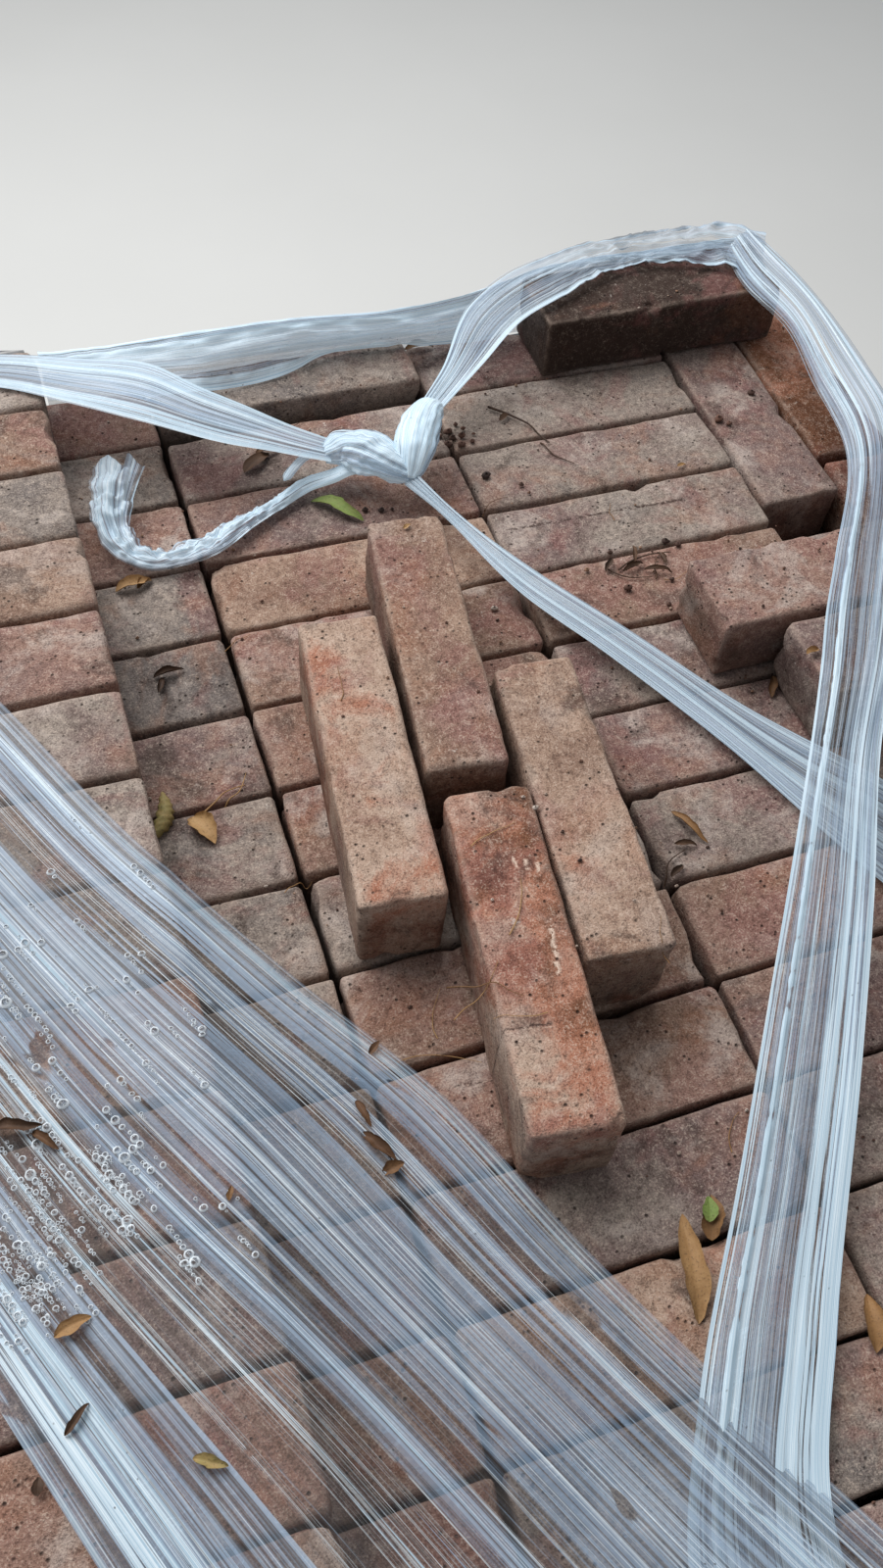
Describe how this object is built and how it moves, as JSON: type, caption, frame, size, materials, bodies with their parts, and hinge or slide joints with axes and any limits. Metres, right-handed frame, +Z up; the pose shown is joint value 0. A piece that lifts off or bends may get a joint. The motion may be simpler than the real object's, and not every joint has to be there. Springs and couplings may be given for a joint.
{
  "type": "pallet of bricks",
  "caption": "Part-used pallet of clay paving bricks in stretch film, with an open top course, loose bricks and knotted film straps",
  "frame": {"origin": "on the floor, under the middle of the pallet", "axes": "+X along the bricks of the main rows, +Y away from the front of the pack, +Z up"},
  "size_m": [1.0036, 1.0836, 0.903],
  "materials": {
    "fired_clay": "rough, sandy",
    "sawn_timber": "rough sawn",
    "stretch_film": "clear, streaked"
  },
  "bodies": {
    "root": {"brick_course_01": "fired_clay", "brick_course_02": "fired_clay", "brick_course_03": "fired_clay", "brick_course_04": "fired_clay", "brick_course_05": "fired_clay", "brick_course_06": "fired_clay", "brick_course_07": "fired_clay", "brick_course_08": "fired_clay", "brick_course_09": "fired_clay", "brick_course_10": "fired_clay", "brick_course_11": "fired_clay", "brick_course_12": "fired_clay", "brick_course_13": "fired_clay", "brick_course_14": "fired_clay", "brick_course_15": "fired_clay", "deck_board_1": "sawn_timber", "deck_board_2": "sawn_timber", "deck_board_3": "sawn_timber", "deck_board_4": "sawn_timber", "deck_board_5": "sawn_timber", "deck_board_6": "sawn_timber", "deck_board_7": "sawn_timber", "film_back_rim": "stretch_film", "film_back_strap": "stretch_film", "film_corner_band": "stretch_film", "film_knot": "stretch_film", "film_left_strap": "stretch_film", "film_right_strap": "stretch_film", "film_side_band": "stretch_film", "film_tail": "stretch_film", "film_wrap": "stretch_film", "loose_brick_1": "fired_clay", "loose_brick_2": "fired_clay", "loose_brick_3": "fired_clay", "loose_brick_4": "fired_clay", "loose_brick_5": "fired_clay", "loose_brick_6": "fired_clay", "loose_brick_7": "fired_clay", "pallet_block_1": "sawn_timber", "pallet_block_2": "sawn_timber", "pallet_block_3": "sawn_timber", "pallet_block_4": "sawn_timber", "pallet_block_5": "sawn_timber", "pallet_block_6": "sawn_timber", "pallet_block_7": "sawn_timber", "pallet_block_8": "sawn_timber", "pallet_block_9": "sawn_timber", "skid_1": "sawn_timber", "skid_2": "sawn_timber", "skid_3": "sawn_timber", "stringer_board_1": "sawn_timber", "stringer_board_2": "sawn_timber", "stringer_board_3": "sawn_timber"}
  },
  "joints": []
}
